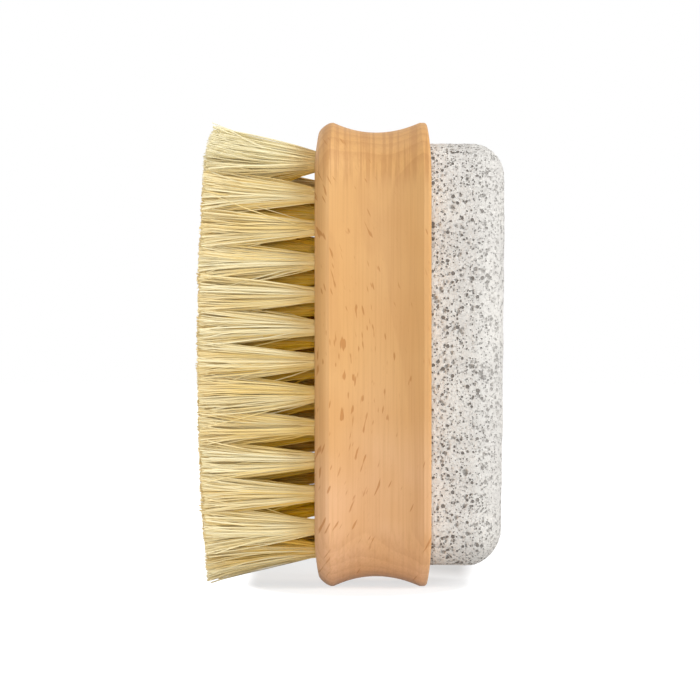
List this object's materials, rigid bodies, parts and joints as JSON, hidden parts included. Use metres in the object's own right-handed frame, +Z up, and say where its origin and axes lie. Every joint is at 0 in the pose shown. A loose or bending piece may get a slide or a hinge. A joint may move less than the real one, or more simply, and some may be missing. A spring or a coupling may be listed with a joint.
{
  "type": "bristle and pumice hand brush",
  "caption": "Hand brush with a waisted beech block, tufts of natural bristle on one long face and a rounded pumice block on the other; stands on one end.",
  "frame": {"origin": "middle of the brush's footprint on the surface it stands on, as pictured on one end", "axes": "+Z up along the brush's length, +X out of the pumice face, -X out along the bristle, Y across its width"},
  "size_m": [0.0631, 0.04, 0.095],
  "materials": {
    "beech": "satin",
    "bristle": "satin",
    "pumice": "matte",
    "adhesive": "satin",
    "anchor_wire": "satin"
  },
  "bodies": {
    "root": {"handle_body": "beech", "bristles_outer_ring": "bristle", "bristles_inner_ring": "bristle", "adhesive_bed": "adhesive", "pumice_stone": "pumice", "anchor_outer_01": "anchor_wire", "anchor_outer_02": "anchor_wire", "anchor_outer_03": "anchor_wire", "anchor_outer_04": "anchor_wire", "anchor_outer_05": "anchor_wire", "anchor_outer_06": "anchor_wire", "anchor_outer_07": "anchor_wire", "anchor_outer_08": "anchor_wire", "anchor_outer_09": "anchor_wire", "anchor_outer_10": "anchor_wire", "anchor_outer_11": "anchor_wire", "anchor_outer_12": "anchor_wire", "anchor_outer_13": "anchor_wire", "anchor_outer_14": "anchor_wire", "anchor_outer_15": "anchor_wire", "anchor_outer_16": "anchor_wire", "anchor_outer_17": "anchor_wire", "anchor_outer_18": "anchor_wire", "anchor_outer_19": "anchor_wire", "anchor_outer_20": "anchor_wire", "anchor_outer_21": "anchor_wire", "anchor_outer_22": "anchor_wire", "anchor_outer_23": "anchor_wire", "anchor_outer_24": "anchor_wire", "anchor_outer_25": "anchor_wire", "anchor_outer_26": "anchor_wire", "anchor_outer_27": "anchor_wire", "anchor_outer_28": "anchor_wire", "anchor_outer_29": "anchor_wire", "anchor_outer_30": "anchor_wire", "anchor_inner_01": "anchor_wire", "anchor_inner_02": "anchor_wire", "anchor_inner_03": "anchor_wire", "anchor_inner_04": "anchor_wire", "anchor_inner_05": "anchor_wire", "anchor_inner_06": "anchor_wire", "anchor_inner_07": "anchor_wire", "anchor_inner_08": "anchor_wire", "anchor_inner_09": "anchor_wire", "anchor_inner_10": "anchor_wire", "anchor_inner_11": "anchor_wire", "anchor_inner_12": "anchor_wire", "anchor_inner_13": "anchor_wire", "anchor_inner_14": "anchor_wire", "anchor_inner_15": "anchor_wire", "anchor_inner_16": "anchor_wire", "anchor_inner_17": "anchor_wire", "anchor_inner_18": "anchor_wire", "anchor_inner_19": "anchor_wire", "anchor_inner_20": "anchor_wire", "anchor_inner_21": "anchor_wire", "anchor_inner_22": "anchor_wire"}
  },
  "joints": []
}
